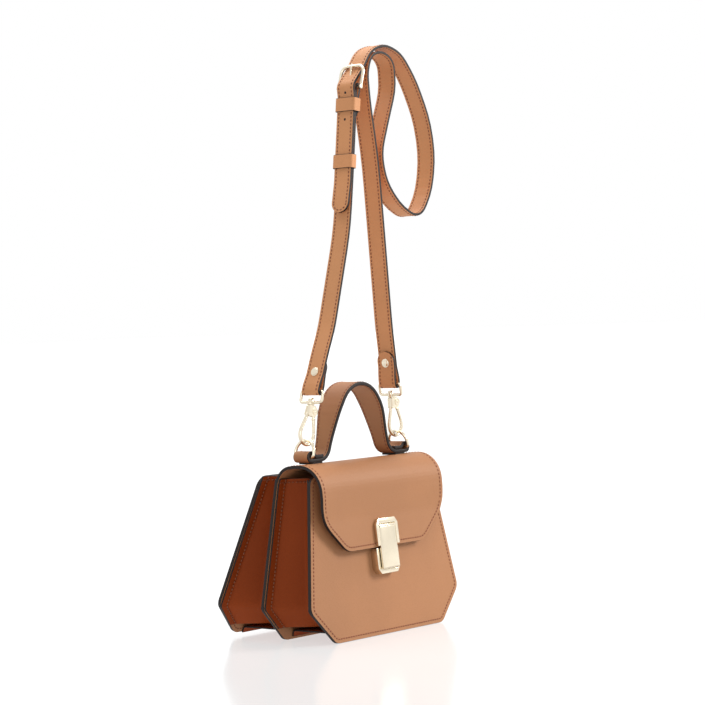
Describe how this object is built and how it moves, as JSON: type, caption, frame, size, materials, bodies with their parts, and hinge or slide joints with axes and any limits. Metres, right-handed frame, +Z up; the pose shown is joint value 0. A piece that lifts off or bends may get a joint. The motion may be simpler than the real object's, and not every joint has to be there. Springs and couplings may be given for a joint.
{
  "type": "sling bag",
  "caption": "Structured leather sling bag with two open-sided compartments, arched flap with flip lock, top handle and clip-on shoulder strap.",
  "frame": {"origin": "on the floor, at the middle of the bag's base, under the middle panel", "axes": "+Z up, the flap and lock face -Y, +X is the right-hand side seen from the front"},
  "size_m": [0.2203, 0.1221, 0.5073],
  "materials": {
    "smooth_leather": "smooth, tan, with black painted edges",
    "gusset_leather": "smooth, darker tan, thin and folded",
    "plated_gold": "polished pale gold plating",
    "inner_steel": "satin"
  },
  "bodies": {
    "bag": {"front_panel": "smooth_leather", "divider_panel": "smooth_leather", "back_panel": "smooth_leather", "front_gusset_right": "gusset_leather", "front_gusset_left": "gusset_leather", "front_gusset_bottom": "gusset_leather", "rear_gusset_right": "gusset_leather", "rear_gusset_left": "gusset_leather", "rear_gusset_bottom": "gusset_leather", "lock_housing": "plated_gold", "lock_catch": "inner_steel", "lock_panel_backplate": "inner_steel", "lock_panel_screws": "inner_steel"},
    "flap": {"flap": "smooth_leather", "handle": "smooth_leather", "lock_flap_plate": "plated_gold", "lock_flap_backplate": "inner_steel", "lock_flap_screws": "inner_steel", "lock_hinge_pin": "inner_steel"},
    "lever": {"lock_lever": "plated_gold"},
    "strap": {"strap_long": "smooth_leather", "strap_short": "smooth_leather", "strap_keeper_fixed": "smooth_leather", "strap_rivet_left": "plated_gold", "strap_rivet_right": "plated_gold"},
    "buckle_frame": {"buckle_frame": "plated_gold"},
    "buckle_prong": {"buckle_prong": "plated_gold"},
    "keeper_sliding": {"strap_keeper_sliding": "smooth_leather"},
    "d_ring_left": {"d_ring_left": "plated_gold"},
    "hook_eye_left": {"hook_eye_left": "plated_gold"},
    "hook_body_left": {"hook_body_left": "plated_gold", "hook_gate_pin_left": "inner_steel"},
    "hook_gate_left": {"hook_gate_left": "plated_gold"},
    "d_ring_right": {"d_ring_right": "plated_gold"},
    "hook_eye_right": {"hook_eye_right": "plated_gold"},
    "hook_body_right": {"hook_body_right": "plated_gold", "hook_gate_pin_right": "inner_steel"},
    "hook_gate_right": {"hook_gate_right": "plated_gold"}
  },
  "joints": [
    {"name": "flap_bend", "type": "hinge", "parent": "bag", "child": "flap", "pos_m": [0, -0.0075, 0.139], "axis": [-1, 0, 0], "range_deg": [0, 100]},
    {"name": "lock_lever_hinge", "type": "hinge", "parent": "flap", "child": "lever", "pos_m": [0, -0.05807, 0.09245], "axis": [-1, 0, 0], "range_deg": [0, 85]},
    {"name": "strap_swing", "type": "hinge", "parent": "flap", "child": "strap", "pos_m": [0, -0.024, 0.15882], "axis": [-1, 0, 0], "range_deg": [-45, 40]},
    {"name": "d_ring_left_hinge", "type": "hinge", "parent": "flap", "child": "d_ring_left", "pos_m": [-0.0645, -0.024, 0.15465], "axis": [0, 1, 0], "range_deg": [-3, 3]},
    {"name": "hook_eye_left_hinge", "type": "hinge", "parent": "strap", "child": "hook_eye_left", "pos_m": [-0.05006, -0.024, 0.2095], "axis": [0, -1, 0], "range_deg": [-2, 2]},
    {"name": "hook_swivel_left", "type": "hinge", "parent": "hook_eye_left", "child": "hook_body_left", "pos_m": [-0.05006, -0.024, 0.2095], "axis": [0.2588, 0, 0.9659], "range_deg": [-20, 20]},
    {"name": "hook_gate_left_hinge", "type": "hinge", "parent": "hook_body_left", "child": "hook_gate_left", "pos_m": [-0.05038, -0.024, 0.19207], "axis": [0, 1, 0], "range_deg": [0, 25], "stiffness_Nm_per_rad": 0.02, "springref_deg": -34.38},
    {"name": "d_ring_right_hinge", "type": "hinge", "parent": "flap", "child": "d_ring_right", "pos_m": [0.0645, -0.024, 0.15465], "axis": [0, 1, 0], "range_deg": [-3, 3]},
    {"name": "hook_eye_right_hinge", "type": "hinge", "parent": "strap", "child": "hook_eye_right", "pos_m": [0.0544, -0.024, 0.21042], "axis": [0, -1, 0], "range_deg": [-2, 2]},
    {"name": "hook_swivel_right", "type": "hinge", "parent": "hook_eye_right", "child": "hook_body_right", "pos_m": [0.0544, -0.024, 0.21042], "axis": [-0.1564, 0, 0.9877], "range_deg": [-20, 20]},
    {"name": "hook_gate_right_hinge", "type": "hinge", "parent": "hook_body_right", "child": "hook_gate_right", "pos_m": [0.0612, -0.024, 0.19437], "axis": [0, 1, 0], "range_deg": [0, 25], "stiffness_Nm_per_rad": 0.02, "springref_deg": -34.38},
    {"name": "buckle_frame_hinge", "type": "hinge", "parent": "strap", "child": "buckle_frame", "pos_m": [0.0152, -0.024, 0.4685], "axis": [0, -1, 0], "range_deg": [0, 4]},
    {"name": "buckle_prong_hinge", "type": "hinge", "parent": "buckle_frame", "child": "buckle_prong", "pos_m": [0.0152, -0.024, 0.4685], "axis": [0, -1, 0], "range_deg": [0, 8]},
    {"name": "keeper_slide", "type": "slide", "parent": "strap", "child": "keeper_sliding", "axis": [-0.1305, 0, -0.9914], "range_m": [-0.012, 0.008]}
  ]
}
